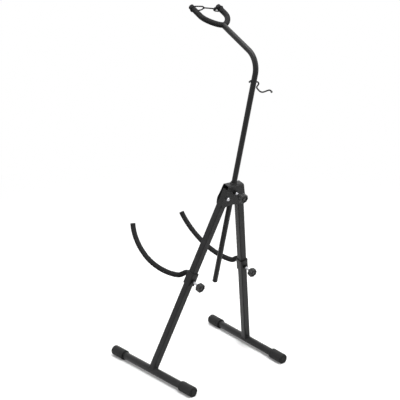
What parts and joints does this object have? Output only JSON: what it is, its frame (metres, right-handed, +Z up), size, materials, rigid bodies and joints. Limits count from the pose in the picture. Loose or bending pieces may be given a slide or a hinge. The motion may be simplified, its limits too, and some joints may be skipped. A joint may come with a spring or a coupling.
{
  "type": "cello stand",
  "caption": "Folding floor stand for a cello: square A legs on foot bars, a sliding bent post with a padded neck yoke, padded body arms on clamped sleeves and a wire bow hook.",
  "frame": {"origin": "on the floor, under the middle of the bounding box", "axes": "+Z is up. The cello stands on the -Y side. +X is the stand's right."},
  "size_m": [0.4046, 0.5032, 1.0578],
  "materials": {
    "coated_steel": "black powder coat, satin",
    "zinc": "bright zinc plate",
    "black_steel": "black oxide",
    "plastic": "moulded black, fine grain",
    "rubber": "moulded black rubber, matt",
    "foam": "closed-cell black foam tube, matt",
    "cord": "black braided elastic"
  },
  "bodies": {
    "hub": {"hub_bracket": "coated_steel", "post_bush": "plastic", "hub_clamp_nut": "black_steel", "right_pivot_bolt": "zinc", "left_pivot_bolt": "zinc", "right_pivot_nut": "zinc", "left_pivot_nut": "zinc"},
    "hub_clamp": {"hub_clamp_screw": "zinc", "hub_clamp_knob": "plastic"},
    "post_carrier": {"post_end_plug": "plastic"},
    "post": {"post_tube": "coated_steel", "yoke_rod": "coated_steel", "yoke_foam": "foam", "right_yoke_tip_cap": "plastic", "left_yoke_tip_cap": "plastic", "cord_loop": "cord", "cord_knot": "cord", "catch_loop": "cord"},
    "bow_hook": {"bow_hook": "coated_steel", "bow_hook_grip_tip": "plastic", "bow_hook_end_tip": "plastic"},
    "cord": {"cord_strand": "cord", "cord_ball": "plastic"},
    "right_leg": {"right_leg_tube": "coated_steel", "right_leg_top_plug": "plastic", "right_foot_bar": "coated_steel", "right_foot_cap_front": "rubber", "right_foot_cap_rear": "rubber"},
    "right_arm": {"right_arm_sleeve": "coated_steel", "right_arm_rod": "coated_steel", "right_arm_foam": "foam", "right_arm_tip_cap": "plastic", "right_arm_clamp_nut": "black_steel"},
    "right_arm_clamp": {"right_arm_clamp_screw": "zinc", "right_arm_clamp_knob": "plastic"},
    "left_leg": {"left_leg_tube": "coated_steel", "left_leg_top_plug": "plastic", "left_foot_bar": "coated_steel", "left_foot_cap_front": "rubber", "left_foot_cap_rear": "rubber"},
    "left_arm": {"left_arm_sleeve": "coated_steel", "left_arm_rod": "coated_steel", "left_arm_foam": "foam", "left_arm_tip_cap": "plastic", "left_arm_clamp_nut": "black_steel"},
    "left_arm_clamp": {"left_arm_clamp_screw": "zinc", "left_arm_clamp_knob": "plastic"}
  },
  "joints": [
    {"name": "right_leg_fold", "type": "hinge", "parent": "hub", "child": "right_leg", "pos_m": [0.025, 0.10481, 0.54583], "axis": [0, 0.9681, -0.2504], "range_deg": [0, 15.6]},
    {"name": "right_arm_height", "type": "slide", "parent": "right_leg", "child": "right_arm", "axis": [-0.2689, 0.2412, 0.9325], "range_m": [-0.24, 0.18]},
    {"name": "right_arm_clamp_turn", "type": "hinge", "parent": "right_arm", "child": "right_arm_clamp", "pos_m": [0.09578, 0.04134, 0.3004], "axis": [0, 0.9681, -0.2504], "range_deg": [0, 540]},
    {"name": "left_leg_fold", "type": "hinge", "parent": "hub", "child": "left_leg", "pos_m": [-0.025, 0.10481, 0.54583], "axis": [0, -0.9681, 0.2504], "range_deg": [0, 15.6]},
    {"name": "left_arm_height", "type": "slide", "parent": "left_leg", "child": "left_arm", "axis": [0.2689, 0.2412, 0.9325], "range_m": [-0.24, 0.18]},
    {"name": "left_arm_clamp_turn", "type": "hinge", "parent": "left_arm", "child": "left_arm_clamp", "pos_m": [-0.09578, 0.04134, 0.3004], "axis": [0, 0.9681, -0.2504], "range_deg": [0, 540]},
    {"name": "hub_clamp_turn", "type": "hinge", "parent": "hub", "child": "hub_clamp", "pos_m": [0, 0.10844, 0.55987], "axis": [0, 0.9681, -0.2504], "range_deg": [0, 540]},
    {"name": "post_height", "type": "slide", "parent": "hub", "child": "post_carrier", "axis": [0, 0.2504, 0.9681], "range_m": [-0.24, 0.24]},
    {"name": "post_swivel", "type": "hinge", "parent": "post_carrier", "child": "post", "pos_m": [0, 0.10481, 0.54583], "axis": [0, 0.2504, 0.9681], "continuous": true},
    {"name": "bow_hook_swing", "type": "hinge", "parent": "post", "child": "bow_hook", "pos_m": [0, 0.18969, 0.87405], "axis": [0, 0.2504, 0.9681], "range_deg": [-90, 90]},
    {"name": "cord_release", "type": "hinge", "parent": "post", "child": "cord", "pos_m": [0.007, -0.01143, 1.04704], "axis": [0, 0.4571, 0.8894], "range_deg": [0, 100]}
  ]
}
